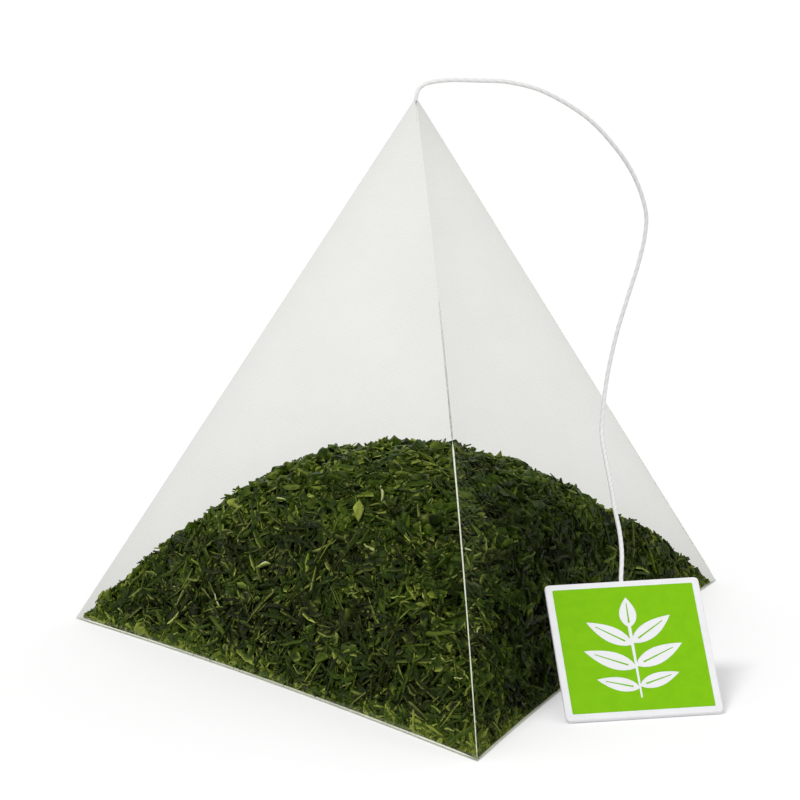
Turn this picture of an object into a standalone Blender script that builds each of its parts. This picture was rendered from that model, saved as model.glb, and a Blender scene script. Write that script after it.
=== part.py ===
"""Pyramid tea bag: a four-cornered pouch of fine woven mesh with a heap of tea leaves in it, a thread out of its
welded tip, and a small card tag on the thread's end, which leans on the pouch.

Metres, +Z up. The origin is on the floor, under the middle of the pouch's base. The pouch has one corner towards
the viewer, at -Y, and one each to the left and the right of it, further back.
"""

from math import cos, pi, radians, sin, sqrt

import bmesh
import bpy
from mathutils import Matrix, Vector

# Pouch
SEAM_LENGTH = 0.062  # every edge of the pouch: the flat width of the tube that the mesh ribbon is made into
MESH_WALL = 0.0003
PIECE_GAP = 0.0003  # between two pieces that touch
TIP_LEAN = 0.0008  # how far the tip stands to the right of the base's middle
FACE_BULGE = 0.0010  # how far the tea pushes each side face out
LEFT_BASE_BOW = 0.0018  # how far each edge of the base is drawn in at its middle
RIGHT_BASE_BOW = 0.0010
BACK_BASE_BOW = 0.0014
FACE_CUTS = 19  # cuts along each edge, for the faces' curves

# Welded seals, one at each end of the tube: along the base's left edge and from the tip down to the right corner
SEAL_WIDTH = 0.0004
SEAL_THICKNESS = 0.0003
SEAL_OVERLAP = 0.0003

# Neck of the tip, where the thread is welded in
NECK_LENGTH = 0.0032

# Tea
HEAP_HEIGHT = 0.0193
HEAP_RADIUS = 0.0343
HEAP_SLOPE = 1.75  # the power by which the heap falls away from its middle
HEAP_MIDDLE = Vector((-0.0006, -0.0015, 0))
HEAP_STRETCH = 1.06  # front to back

# Thread
THREAD_DIAMETER = 0.0004
THREAD_SPACING = 0.0006  # between the points that its route is drawn through

# Card tag
TAG_WIDTH = 0.0136
TAG_HEIGHT = 0.0142
TAG_THICKNESS = 0.0004
TAG_CORNER = 0.0004
TAG_SLOPE = radians(40)  # of its face, up from the floor
TAG_ALONG = 0.2  # where along the base's right edge its foot stands out from, as a share of that edge

# Values that follow from those above
TIP_HEIGHT = SEAM_LENGTH * sqrt(2 / 3)
CORNER_RADIUS = SEAM_LENGTH / sqrt(3)
INNER_RADIUS = TIP_HEIGHT / 4  # of the ball that just fits in the pouch
BORE_RADIUS = THREAD_DIAMETER / 2 + PIECE_GAP
NECK_RADIUS = BORE_RADIUS + MESH_WALL
CUT_THROUGH = 0.001  # how far a cutter runs past what it cuts

FRONT = Vector((0, -1, 0)) * CORNER_RADIUS
RIGHT = Vector((cos(radians(30)), sin(radians(30)), 0)) * CORNER_RADIUS
LEFT = Vector((-cos(radians(30)), sin(radians(30)), 0)) * CORNER_RADIUS
TIP = Vector((TIP_LEAN, 0, TIP_HEIGHT))

# The thread's route, in millimetres: up out of the tip, over in a springy arch to the right, against the pouch's
# right-hand edge, then forwards and down to the middle of the tag's top edge
THREAD_ROUTE_MM = [
    (0.8, 0.0, 48.4),
    (0.8, 0.0, 49.5),
    (0.8, 0.0, 50.4),
    (0.95, 0.05, 51.1),
    (1.45, 0.15, 51.6),
    (2.4, 0.35, 51.85),
    (4.1, 0.7, 51.9),
    (6.4, 1.2, 51.7),
    (9.6, 2.0, 51.3),
    (13.0, 2.9, 50.1),
    (16.9, 4.2, 47.5),
    (19.8, 5.4, 44.3),
    (21.6, 6.4, 41.4),
    (22.6, 7.0, 38.4),
    (22.6, 7.4, 36.1),
    (22.0, 7.8, 33.3),
    (21.0, 8.0, 30.2),
    (19.9, 8.0, 26.8),
    (19.0, 7.7, 23.4),
    (18.4, 7.0, 20.6),
    (17.9, 5.5, 18.0),
    (17.7, 2.4, 16.2),
    (17.4, -1.8, 14.7),
    (17.0, -6.0, 13.5),
    (16.7, -10.0, 12.3),
    (16.3, -13.2, 11.0),
    (15.8, -15.4, 9.3),
]


def clear_scene():
    """Take out whatever the file opened with."""
    for thing in list(bpy.data.objects):
        bpy.data.objects.remove(thing, do_unlink=True)


def make_collection(name):
    collection = bpy.data.collections.new(name)
    bpy.context.scene.collection.children.link(collection)
    return collection


def make_material(name, colour, roughness, alpha=1.0):
    material = bpy.data.materials.new(name)
    material.use_nodes = True
    shader = material.node_tree.nodes["Principled BSDF"]
    shader.inputs["Base Color"].default_value = (*colour, 1)
    shader.inputs["Roughness"].default_value = roughness
    shader.inputs["Metallic"].default_value = 0
    shader.inputs["Alpha"].default_value = alpha
    material.diffuse_color = (*colour, alpha)
    return material


def add_object(name, data, collection, material=None):
    thing = bpy.data.objects.new(name, data)
    collection.objects.link(thing)
    if material:
        data.materials.append(material)
    return thing


def add_boolean(thing, cutter, operation):
    modifier = thing.modifiers.new(cutter.name, "BOOLEAN")
    modifier.operation = operation
    modifier.solver = "EXACT"
    modifier.object = cutter
    cutter.hide_render = True
    cutter.display_type = "WIRE"


def curve_as_mesh(thing, collection):
    """Turn a curve object into a mesh object of the same name, with its caps welded on."""
    name = thing.name
    bpy.context.view_layer.update()
    evaluated = thing.evaluated_get(bpy.context.evaluated_depsgraph_get())
    mesh = bpy.data.meshes.new_from_object(evaluated)
    bm = bmesh.new()
    bm.from_mesh(mesh)
    bmesh.ops.remove_doubles(bm, verts=bm.verts, dist=0.00001)
    bm.to_mesh(mesh)
    bm.free()
    place = thing.matrix_world.copy()
    bpy.data.objects.remove(thing, do_unlink=True)
    solid = add_object(name, mesh, collection)
    solid.matrix_world = place
    return solid


def corner_weights(point):
    """How much of each corner there is in a point of the straight-sided pouch: tip, front, right and left."""
    tip = point.z / TIP_HEIGHT
    flat = Vector((point.x, point.y, 0))
    base = [
        (flat.dot(corner) / CORNER_RADIUS**2 + (1 - tip) / 2) / 1.5
        for corner in (FRONT, RIGHT, LEFT)
    ]
    return tip, *(max(weight, 0) for weight in base)


def filled_shape(point):
    """Where a point of the straight-sided pouch goes when tea fills it: faces pushed out, base edges drawn in."""
    tip, front, right, left = corner_weights(point)
    moved = point.copy()
    most = 0.259**0.7 * (1 - 0.259) ** 2 / 4  # of the term below, so that a face bulges by FACE_BULGE
    edges = (
        (front, left, RIGHT, LEFT_BASE_BOW),
        (front, right, LEFT, RIGHT_BASE_BOW),
        (left, right, FRONT, BACK_BASE_BOW),
    )
    for one, other, opposite, bow in edges:
        inwards = opposite / CORNER_RADIUS
        outwards = TIP_HEIGHT / SEAM_LENGTH * 2 / sqrt(3) * -inwards + Vector((0, 0, 1 / 3))
        share = one * other
        moved += inwards * bow * 4 * share * (1 - tip) ** 2
        moved += outwards * FACE_BULGE * max(tip, 0) ** 0.7 * share / most
    moved.x += TIP_LEAN * moved.z / TIP_HEIGHT
    return moved


def make_pouch(name, inset, collection, material=None):
    """The pouch as a closed solid, its faces set in by inset from the outside of the mesh."""
    bm = bmesh.new()
    bmesh.ops.create_cone(
        bm,
        cap_ends=True,
        segments=3,
        radius1=CORNER_RADIUS,
        radius2=0,
        depth=TIP_HEIGHT,
        matrix=Matrix.Translation((0, 0, TIP_HEIGHT / 2)) @ Matrix.Rotation(pi, 4, "Z"),
    )
    bmesh.ops.remove_doubles(bm, verts=bm.verts, dist=0.00001)
    bmesh.ops.subdivide_edges(bm, edges=bm.edges, cuts=FACE_CUTS, use_grid_fill=True)
    middle = Vector((0, 0, INNER_RADIUS))
    shrink = 1 - inset / INNER_RADIUS
    for vertex in bm.verts:
        full = filled_shape(vertex.co)
        vertex.co = middle + (full - middle) * shrink
    bmesh.ops.triangulate(bm, faces=bm.faces)
    bmesh.ops.recalc_face_normals(bm, faces=bm.faces)
    mesh = bpy.data.meshes.new(name)
    bm.to_mesh(mesh)
    bm.free()
    mesh.shade_smooth()
    mesh.set_sharp_from_angle(angle=radians(40))
    return add_object(name, mesh, collection, material)


def make_cylinder(name, radius, bottom, top, collection):
    """An upright cylinder under the pouch's tip, between two heights."""
    bm = bmesh.new()
    bmesh.ops.create_cone(
        bm,
        cap_ends=True,
        segments=24,
        radius1=radius,
        radius2=radius,
        depth=top - bottom,
        matrix=Matrix.Translation((TIP.x, TIP.y, (top + bottom) / 2)),
    )
    mesh = bpy.data.meshes.new(name)
    bm.to_mesh(mesh)
    bm.free()
    return add_object(name, mesh, collection)


def flat_outline(name, points, thickness, collection, material=None):
    """A flat plate of the given outline, its thickness shared above and below its own XY plane."""
    curve = bpy.data.curves.new(name, "CURVE")
    curve.dimensions = "2D"
    curve.fill_mode = "BOTH"
    curve.extrude = thickness / 2
    spline = curve.splines.new("POLY")
    spline.points.add(len(points) - 1)
    for spot, (x, y) in zip(spline.points, points):
        spot.co = (x, y, 0, 1)
    spline.use_cyclic_u = True
    return add_object(name, curve, collection, material)


def make_base_seal(collection):
    """The welded strip that lies on the floor along the base's left edge."""
    outwards = -RIGHT / CORNER_RADIUS
    steps = FACE_CUTS + 1
    outer, inner = [], []
    for step in range(steps + 1):
        share = step / steps
        spot = filled_shape(LEFT.lerp(FRONT, share))
        outer.append((spot + outwards * SEAL_WIDTH).to_2d())
        inner.append((spot - outwards * SEAL_OVERLAP).to_2d())
    outline = outer[1:-1] + inner[-2:0:-1]
    strip = flat_outline("base_seal", outline, SEAL_THICKNESS, collection)
    strip.location.z = SEAL_THICKNESS / 2
    return curve_as_mesh(strip, collection)


def make_side_seal(collection):
    """The welded strip that stands out from the edge between the tip and the right corner."""
    along = (TIP - RIGHT).normalized()
    sideways = Vector((-RIGHT.y, RIGHT.x, 0)).normalized()
    outwards = sideways.cross(along).normalized()
    start = RIGHT.lerp(TIP, 0.01)
    end = TIP - along * NECK_LENGTH * 0.6
    bm = bmesh.new()
    bmesh.ops.create_cube(bm, size=1)
    axes = Matrix((along, outwards, sideways)).transposed().to_4x4()
    middle = (start + end) / 2 + outwards * (SEAL_WIDTH - SEAL_OVERLAP) / 2
    size = Matrix.Diagonal(((end - start).length, SEAL_WIDTH + SEAL_OVERLAP, SEAL_THICKNESS, 1))
    bmesh.ops.transform(bm, matrix=Matrix.Translation(middle) @ axes @ size, verts=bm.verts)
    bmesh.ops.recalc_face_normals(bm, faces=bm.faces)
    mesh = bpy.data.meshes.new("side_seal")
    bm.to_mesh(mesh)
    bm.free()
    return add_object("side_seal", mesh, collection)


def make_mesh_bag(collection, cutters):
    """The pouch: one ribbon of mesh folded and welded shut, with the thread's bore through its tip."""
    material = make_material("mesh", (0.90, 0.90, 0.87), 0.6, alpha=0.3)
    bag = make_pouch("mesh_bag", 0, collection, material)
    add_boolean(bag, make_pouch("hollow", MESH_WALL, cutters), "DIFFERENCE")
    neck_bottom = TIP_HEIGHT - NECK_LENGTH
    add_boolean(bag, make_cylinder("neck", NECK_RADIUS, neck_bottom, TIP_HEIGHT, cutters), "UNION")
    add_boolean(bag, make_base_seal(cutters), "UNION")
    add_boolean(bag, make_side_seal(cutters), "UNION")
    bore = make_cylinder("bore", BORE_RADIUS, neck_bottom - CUT_THROUGH, TIP_HEIGHT + CUT_THROUGH, cutters)
    add_boolean(bag, bore, "DIFFERENCE")


def make_tea_leaves(collection, cutters):
    """The heap of loose leaves: a low dome that the pouch's walls cut off."""
    material = make_material("tea", (0.055, 0.095, 0.020), 0.75)
    tea = make_pouch("tea_leaves", MESH_WALL + PIECE_GAP, collection, material)

    rings = 12
    radii = [HEAP_RADIUS * ring / rings for ring in range(rings + 1)]
    profile = [(radius, HEAP_HEIGHT * (1 - (radius / HEAP_RADIUS) ** HEAP_SLOPE)) for radius in radii]
    profile += [(HEAP_RADIUS, -CUT_THROUGH), (0, -CUT_THROUGH)]
    bm = bmesh.new()
    spots = [bm.verts.new((x, 0, z)) for x, z in profile]
    for one, other in zip(spots, spots[1:]):
        bm.edges.new((one, other))
    mesh = bpy.data.meshes.new("dome")
    bm.to_mesh(mesh)
    bm.free()
    dome = add_object("dome", mesh, cutters)
    turn = dome.modifiers.new("turn", "SCREW")
    turn.axis = "Z"
    turn.steps = 40
    turn.render_steps = 40
    turn.use_merge_vertices = True
    turn.merge_threshold = 0.00001
    dome.location = HEAP_MIDDLE
    dome.scale = (1, HEAP_STRETCH, 1)
    add_boolean(tea, dome, "INTERSECT")


def smooth_route(route, spacing):
    """Points at even steps along the smooth curve that runs through the route's own points."""
    padded = [route[0] * 2 - route[1], *route, route[-1] * 2 - route[-2]]
    fine = []
    for before, start, end, after in zip(padded, padded[1:], padded[2:], padded[3:]):
        for step in range(20):
            t = step / 20
            fine.append(
                start
                + (end - before) * t / 2
                + (before * 2 - start * 5 + end * 4 - after) * t * t / 2
                + (start * 3 - before - end * 3 + after) * t * t * t / 2
            )
    fine.append(route[-1])
    length = sum((b - a).length for a, b in zip(fine, fine[1:]))
    steps = round(length / spacing)
    points, walked, target = [fine[0]], 0, length / steps
    for a, b in zip(fine, fine[1:]):
        stretch = (b - a).length
        while walked + stretch >= target and len(points) < steps:
            points.append(a.lerp(b, (target - walked) / stretch))
            target += length / steps
        walked += stretch
    points.append(fine[-1])
    return points


def make_thread(collection):
    material = make_material("thread", (0.86, 0.86, 0.84), 0.8)
    route = [Vector(spot) * 0.001 for spot in THREAD_ROUTE_MM]
    points = smooth_route(route, THREAD_SPACING)
    curve = bpy.data.curves.new("thread", "CURVE")
    curve.dimensions = "3D"
    curve.bevel_depth = THREAD_DIAMETER / 2
    curve.bevel_resolution = 2
    curve.use_fill_caps = True
    spline = curve.splines.new("POLY")
    spline.points.add(len(points) - 1)
    for spot, point in zip(spline.points, points):
        spot.co = (*point, 1)
    add_object("thread", curve, collection, material)


def rounded_rectangle(width, height, corner):
    """An outline that stands on the X axis, centred left to right."""
    centres = (
        (width / 2 - corner, corner, -90),
        (width / 2 - corner, height - corner, 0),
        (corner - width / 2, height - corner, 90),
        (corner - width / 2, corner, 180),
    )
    points = []
    for x, y, start in centres:
        for turn in range(0, 91, 30):
            angle = radians(start + turn)
            points.append((x + corner * cos(angle), y + corner * sin(angle)))
    return points


def tag_foot():
    """Where the tag's lower left corner stands on the floor for its upper left corner to meet the filled pouch."""
    outwards = -LEFT / CORNER_RADIUS
    upright_tip = Vector((0, 0, TIP_HEIGHT))
    normal = (RIGHT - FRONT).cross(upright_tip - FRONT).normalized()
    rise = Vector((0, cos(TAG_SLOPE), sin(TAG_SLOPE))) * TAG_HEIGHT
    foot = FRONT.lerp(RIGHT, TAG_ALONG)
    for _ in range(6):
        corner = foot + rise
        on_face = corner - normal * normal.dot(corner - FRONT)
        gap = normal.dot(corner - filled_shape(on_face))
        foot += outwards * (PIECE_GAP - gap) / normal.dot(outwards)
    return foot


def make_tag(collection):
    """The card tag. It faces -Y, stands on its bottom edge and leans back by its upper left corner on the pouch."""
    material = make_material("tag", (0.216, 0.533, 0.0), 0.5)
    outline = rounded_rectangle(TAG_WIDTH, TAG_HEIGHT, TAG_CORNER)
    tag = flat_outline("tag", outline, TAG_THICKNESS, collection, material)
    tag.rotation_euler.x = TAG_SLOPE
    forwards = Vector((0, -sin(TAG_SLOPE), cos(TAG_SLOPE)))
    tag.location = tag_foot() + forwards * TAG_THICKNESS / 2
    tag.location.x += TAG_WIDTH / 2


def main():
    clear_scene()
    parts = make_collection("pyramid_tea_bag")
    cutters = make_collection("cutters")
    make_mesh_bag(parts, cutters)
    make_tea_leaves(parts, cutters)
    make_thread(parts)
    make_tag(parts)


main()
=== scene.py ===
"""Looks of the pyramid tea bag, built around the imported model: metres, +Z up, the row frame."""

from math import cos, pi, radians, sin, sqrt

import bpy
import numpy as np
from mathutils import Matrix, Vector


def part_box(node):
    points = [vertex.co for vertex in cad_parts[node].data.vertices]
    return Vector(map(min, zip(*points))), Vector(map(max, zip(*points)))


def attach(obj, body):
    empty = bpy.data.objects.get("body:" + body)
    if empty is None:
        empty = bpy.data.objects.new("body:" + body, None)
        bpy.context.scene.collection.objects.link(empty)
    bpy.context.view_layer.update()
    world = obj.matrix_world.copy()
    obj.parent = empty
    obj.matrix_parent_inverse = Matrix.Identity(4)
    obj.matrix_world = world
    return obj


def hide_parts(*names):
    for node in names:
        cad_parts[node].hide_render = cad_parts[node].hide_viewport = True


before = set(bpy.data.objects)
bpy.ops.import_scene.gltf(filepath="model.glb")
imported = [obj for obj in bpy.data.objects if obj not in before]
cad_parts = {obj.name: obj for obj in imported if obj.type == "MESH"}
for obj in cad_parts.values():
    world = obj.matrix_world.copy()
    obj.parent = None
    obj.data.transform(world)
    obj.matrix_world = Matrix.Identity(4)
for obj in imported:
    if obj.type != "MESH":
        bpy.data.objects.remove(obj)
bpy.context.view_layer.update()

MM = 0.001

# Pouch, as in the part's source, but with a front fold and a left base edge that follow the photo more closely
SEAM_LENGTH = 0.062
TIP_LEAN = 0.0008
FACE_BULGE = 0.0010
FOLD_BOW = 0.0004
LEFT_BASE_BOW = 0.0009
RIGHT_BASE_BOW = 0.0010
BACK_BASE_BOW = 0.0014
TIP_HEIGHT = SEAM_LENGTH * sqrt(2 / 3)
CORNER_RADIUS = SEAM_LENGTH / sqrt(3)
FRONT = np.array([0, -CORNER_RADIUS, 0])
RIGHT = np.array([CORNER_RADIUS * cos(radians(30)), CORNER_RADIUS / 2, 0])
LEFT = np.array([-CORNER_RADIUS * cos(radians(30)), CORNER_RADIUS / 2, 0])
TIP = np.array([0, 0, TIP_HEIGHT])

# Tea, as in the part's source, with the low swells and lumps of a loose heap: swells are places from left to right
# and their heights, in millimetres
HEAP_HEIGHT = 0.0193
HEAP_RADIUS = 0.0343
HEAP_SLOPE = 1.75
HEAP_MIDDLE = (-0.0006, -0.0015)
HEAP_STRETCH = 1.06
HEAP_LUMPS = 0.00036
HEAP_SWELLS = (
    (-28, 0.6),
    (-23, 0.3),
    (-19.5, 0.1),
    (-16, 0.5),
    (-8, 0.5),
    (-4, 0.05),
    (3, -0.3),
    (12, -0.7),
    (17, -1.1),
    (20, -0.8),
    (22, -0.2),
    (24, 0.4),
    (28, 0.8),
)

# Thread, as in the part's source
THREAD_DIAMETER = 0.0004
THREAD_ROUTE_MM = [
    (0.8, 0.0, 48.4),
    (0.8, 0.0, 49.5),
    (0.8, 0.0, 50.4),
    (0.95, 0.05, 51.1),
    (1.45, 0.15, 51.6),
    (2.4, 0.35, 51.85),
    (4.1, 0.7, 51.9),
    (6.4, 1.2, 51.7),
    (9.6, 2.0, 51.3),
    (13.0, 2.9, 50.1),
    (16.9, 4.2, 47.5),
    (19.8, 5.4, 44.3),
    (21.6, 6.4, 41.4),
    (22.6, 7.0, 38.4),
    (22.6, 7.4, 36.1),
    (22.0, 7.8, 33.3),
    (21.0, 8.0, 30.2),
    (19.9, 8.0, 26.8),
    (19.0, 7.7, 23.4),
    (18.4, 7.0, 20.6),
    (17.9, 5.5, 18.0),
    (17.7, 2.4, 16.2),
    (17.4, -1.8, 14.7),
    (17.0, -6.0, 13.5),
    (16.7, -10.0, 12.3),
    (16.3, -13.2, 11.0),
    (15.8, -15.4, 9.3),
]

# Tag, as in the part's source
TAG_WIDTH = 0.0136
TAG_HEIGHT = 0.0142
TAG_THICKNESS = 0.0004
TAG_CORNER = 0.0004
TAG_SLOPE = radians(40)

# Camera, fitted to the photo's four corners of the pouch
CAMERA_AZIMUTH = radians(-6.82)
CAMERA_ELEVATION = radians(11.90)
CAMERA_DISTANCE = 0.341
CAMERA_AIM = Vector((0, 0, 0.0217))
CAMERA_ROLL = radians(-1.62)
CAMERA_LENS = 169.97
CAMERA_SHIFT = (-0.02, 0.0202)
SENSOR_WIDTH = 36

# Light: each lamp's azimuth and elevation in degrees, its power, and the angle that it seems to span
ROOM_LIGHT = 0.55
FLOOR_GLOW = 0.22
LAMPS = {"key": (-46, 54, 1.25, 20), "fill": (40, 30, 0.25, 60)}

# Mesh: corners of each face, how much light one layer lets through, and how much white haze lies on it
WEAVE_PITCH = 0.21
MESH_CUTS = 72
FACES = {
    "left": (LEFT, FRONT, TIP, 0.916, 0.0004),
    "right": (TIP, RIGHT, FRONT, 0.871, 0.0016),
    "back": (RIGHT, TIP, LEFT, 0.925, 0.0010),
    "bottom": (FRONT, LEFT, RIGHT, 0.900, 0.0100),
}
FOLDS = ((TIP, LEFT), (TIP, FRONT), (RIGHT, LEFT), (RIGHT, FRONT))
LAP_WIDTH = 2.0 * MM

# Tea drawn leaf by leaf: how many needles, flakes and crumbs lie along each side of it
LEAF_COUNTS = {
    "top_front": (2500, 950, 1100),
    "top_back": (1800, 600, 900),
    "left": (1800, 760, 1300),
    "right": (1800, 900, 1300),
    "back": (1400, 520, 1000),
    "bottom": (420, 220, 400),
}
LUMP_COUNTS = {"top_front": 260, "top_back": 160, "left": 150, "right": 160, "back": 90, "bottom": 20}
SURFACE_NEEDLES = {"top_front": 460, "top_back": 260, "left": 380, "right": 260, "back": 200, "bottom": 40}
RIM_COUNTS = (420, 900)
LEAF_COLOURS = (
    (0.00, (16, 25, 5)),
    (0.25, (37, 55, 12)),
    (0.50, (63, 85, 19)),
    (0.75, (96, 112, 34)),
    (1.00, (150, 162, 70)),
)


# Small tools


def material_of(name):
    """A new node material with nothing but its output, and that material's node tree."""
    material = bpy.data.materials.new(name)
    material.use_nodes = True
    tree = material.node_tree
    tree.nodes.clear()
    tree.nodes.new("ShaderNodeOutputMaterial")
    return material, tree


def put(tree, socket, value):
    """Set an input to a plain value or link another node's output to it."""
    if isinstance(value, bpy.types.NodeSocket):
        tree.links.new(value, socket)
    elif value is not None:
        socket.default_value = value


def node(tree, kind, inputs=(), **settings):
    """A new node with some settings and inputs. Inputs go by name or number."""
    made = tree.nodes.new("ShaderNode" + kind)
    for key, value in settings.items():
        setattr(made, key, value)
    for key, value in dict(inputs).items():
        put(tree, made.inputs[key], value)
    return made


def calc(tree, operation, a, b=None, c=None, clamp=False):
    made = node(tree, "Math", operation=operation, use_clamp=clamp)
    for socket, value in zip(made.inputs, (a, b, c)):
        put(tree, socket, value)
    return made.outputs[0]


def blend_colours(tree, share, a, b):
    made = node(tree, "Mix", data_type="RGBA")
    put(tree, made.inputs["Factor"], share)
    put(tree, made.inputs["A"], a)
    put(tree, made.inputs["B"], b)
    return made.outputs["Result"]


def span(tree, value, low, high, to_low=0.0, to_high=1.0):
    """Value mapped from one range to another, smoothly, and held at both ends."""
    made = node(tree, "MapRange", interpolation_type="SMOOTHSTEP")
    for socket, given in zip(made.inputs, (value, low, high, to_low, to_high)):
        put(tree, socket, given)
    return made.outputs[0]


def noise(tree, scale, detail=3.0, where=None):
    """Noise from 0 to 1, its scale in lumps per metre unless where says otherwise."""
    if where is None:
        where = node(tree, "TexCoord").outputs["Object"]
    return node(tree, "TexNoise", {"Vector": where, "Scale": scale, "Detail": detail}).outputs["Fac"]


def attribute(tree, name):
    return node(tree, "Attribute", attribute_name=name).outputs["Fac"]


def finish_material(tree, surface):
    output = next(n for n in tree.nodes if n.bl_idname == "ShaderNodeOutputMaterial")
    tree.links.new(surface, output.inputs["Surface"])


def rgb(red, green, blue):
    """A colour written as on a screen, 0 to 255, as the linear colour that a shader takes."""
    return (*(((c / 255 + 0.055) / 1.055) ** 2.4 if c > 10 else c / 255 / 12.92 for c in (red, green, blue)), 1)


def object_from(name, points, triangles, material, smooth=True, **values):
    """A mesh object from arrays. Each further keyword is a number for each point, or for each corner."""
    points = np.asarray(points, np.float32).reshape(-1, 3)
    triangles = np.asarray(triangles, np.int32).reshape(-1, 3)
    mesh = bpy.data.meshes.new(name)
    mesh.vertices.add(len(points))
    mesh.vertices.foreach_set("co", points.ravel())
    mesh.loops.add(triangles.size)
    mesh.loops.foreach_set("vertex_index", triangles.ravel())
    mesh.polygons.add(len(triangles))
    mesh.polygons.foreach_set("loop_start", np.arange(0, triangles.size, 3, dtype=np.int32))
    mesh.update(calc_edges=True)
    if smooth:
        mesh.shade_smooth()
    else:
        mesh.shade_flat()
    for key, numbers in values.items():
        domain = "POINT" if len(numbers) == len(points) else "CORNER"
        kept = mesh.attributes.new(key, "FLOAT", domain)
        kept.data.foreach_set("value", np.asarray(numbers, np.float32).ravel())
    thing = bpy.data.objects.new(name, mesh)
    bpy.context.scene.collection.objects.link(thing)
    mesh.materials.append(material)
    return thing


def join(parts):
    """Several (points, triangles, value, value...) as one."""
    offset, points, triangles, values = 0, [], [], []
    for part in parts:
        points.append(part[0])
        triangles.append(part[1] + offset)
        values.append(part[2:])
        offset += len(part[0])
    return (np.concatenate(points), np.concatenate(triangles), *(np.concatenate(v) for v in zip(*values)))


def unit(vector):
    return vector / np.linalg.norm(vector, axis=-1, keepdims=True)


# Shape of the filled pouch


def corner_weights(points):
    tip = points[:, 2] / TIP_HEIGHT
    base = [
        np.maximum((points[:, :2] @ corner[:2] / CORNER_RADIUS**2 + (1 - tip) / 2) / 1.5, 0)
        for corner in (FRONT, RIGHT, LEFT)
    ]
    return tip, *base


OPPOSITE = {"left": RIGHT, "right": LEFT, "back": FRONT}
OUTWARDS = {
    name: TIP_HEIGHT / SEAM_LENGTH * 2 / sqrt(3) * -corner / CORNER_RADIUS + np.array([0, 0, 1 / 3])
    for name, corner in OPPOSITE.items()
}
WALL_SINE = OUTWARDS["back"][1]
BOW = {"left": LEFT_BASE_BOW, "right": RIGHT_BASE_BOW, "back": BACK_BASE_BOW}
BULGE_POWER = 0.7
BULGE_PEAK = 0.259
MOST_BULGE = BULGE_PEAK**BULGE_POWER * (1 - BULGE_PEAK) ** 2 / 4


def face_share(name, front, right, left):
    return {"left": front * left, "right": front * right, "back": left * right}[name]


def bulge(name, tip, share):
    return FACE_BULGE * np.clip(tip, 0, 1) ** BULGE_POWER * share / MOST_BULGE


def filled_shape(points):
    """Where points of the straight-sided pouch go when tea fills it."""
    tip, front, right, left = corner_weights(points)
    moved = points.copy()
    for name, corner in OPPOSITE.items():
        share = face_share(name, front, right, left)
        moved += (BOW[name] * 4 * share * (1 - tip) ** 2)[:, None] * corner / CORNER_RADIUS
        moved += bulge(name, tip, share)[:, None] * OUTWARDS[name]
    moved[:, 0] += TIP_LEAN * moved[:, 2] / TIP_HEIGHT + FOLD_BOW * 4 * tip * front
    return moved


def outside_by(points, name):
    """How far points lie outside one side wall of the filled pouch."""
    straight = points.copy()
    straight[:, 0] -= TIP_LEAN * points[:, 2] / TIP_HEIGHT
    tip, front, right, left = corner_weights(straight)
    share = face_share(name, front, right, left)
    push = bulge(name, tip, share) - BOW[name] * 4 * share * (1 - tip) ** 2 * WALL_SINE
    push = push + FOLD_BOW * 4 * tip * front * OUTWARDS[name][0]
    anchor = RIGHT if name == "back" else FRONT
    return (straight - anchor) @ OUTWARDS[name] - push


def heap_top(x, y):
    """Height of the heap, with the low lumps that loose leaves lie in."""
    radius = np.hypot(x - HEAP_MIDDLE[0], (y - HEAP_MIDDLE[1]) / HEAP_STRETCH)
    lumps = np.sin(x / (0.46 * MM) + 1.0) * np.sin(y / (0.6 * MM)) + 0.7 * np.sin(x / (0.9 * MM) - y / (1.4 * MM))
    swells = np.interp(x / MM, *zip(*HEAP_SWELLS)) * MM
    return HEAP_HEIGHT * (1 - (radius / HEAP_RADIUS) ** HEAP_SLOPE) + HEAP_LUMPS * lumps + swells


def triangle_grid(a, b, c, cuts):
    """Points over a triangle in rows from the side a-b towards c, and its small triangles."""
    points, index = [], {}
    for row in range(cuts + 1):
        for step in range(cuts + 1 - row):
            index[row, step] = len(points)
            points.append(a + (b - a) * step / cuts + (c - a) * row / cuts)
    triangles = []
    for row in range(cuts):
        for step in range(cuts - row):
            triangles.append((index[row, step], index[row, step + 1], index[row + 1, step]))
            if step < cuts - row - 1:
                triangles.append((index[row, step + 1], index[row + 1, step + 1], index[row + 1, step]))
    return np.array(points), np.array(triangles)


def edge_distance(points, a, b):
    along = unit(b - a)
    offset = points - a
    return np.linalg.norm(offset - (offset @ along)[:, None] * along, axis=1)


# Camera, light and floor


def make_camera():
    azimuth, elevation = CAMERA_AZIMUTH, CAMERA_ELEVATION
    back = Vector((sin(azimuth) * cos(elevation), -cos(azimuth) * cos(elevation), sin(elevation)))
    right = Vector((cos(azimuth), sin(azimuth), 0))
    up = back.cross(right)
    across = right * cos(CAMERA_ROLL) + up * sin(CAMERA_ROLL)
    upward = up * cos(CAMERA_ROLL) - right * sin(CAMERA_ROLL)
    data = bpy.data.cameras.new("camera")
    data.lens = CAMERA_LENS
    data.sensor_width = SENSOR_WIDTH
    data.shift_x, data.shift_y = CAMERA_SHIFT
    data.clip_start = 0.01
    data.clip_end = 100
    camera = bpy.data.objects.new("camera", data)
    axes = Matrix((across, upward, back)).transposed().to_4x4()
    camera.matrix_world = Matrix.Translation(CAMERA_AIM + back * CAMERA_DISTANCE) @ axes
    bpy.context.scene.collection.objects.link(camera)
    bpy.context.scene.camera = camera


def seen_straight(tree):
    """1 for what the camera sees, also in a mirror or through glass, and 0 for what only lights other things."""
    path = node(tree, "LightPath")
    seen = calc(tree, "MAXIMUM", path.outputs["Is Camera Ray"], path.outputs["Is Glossy Ray"])
    return calc(tree, "MAXIMUM", seen, path.outputs["Is Transmission Ray"])


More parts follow.
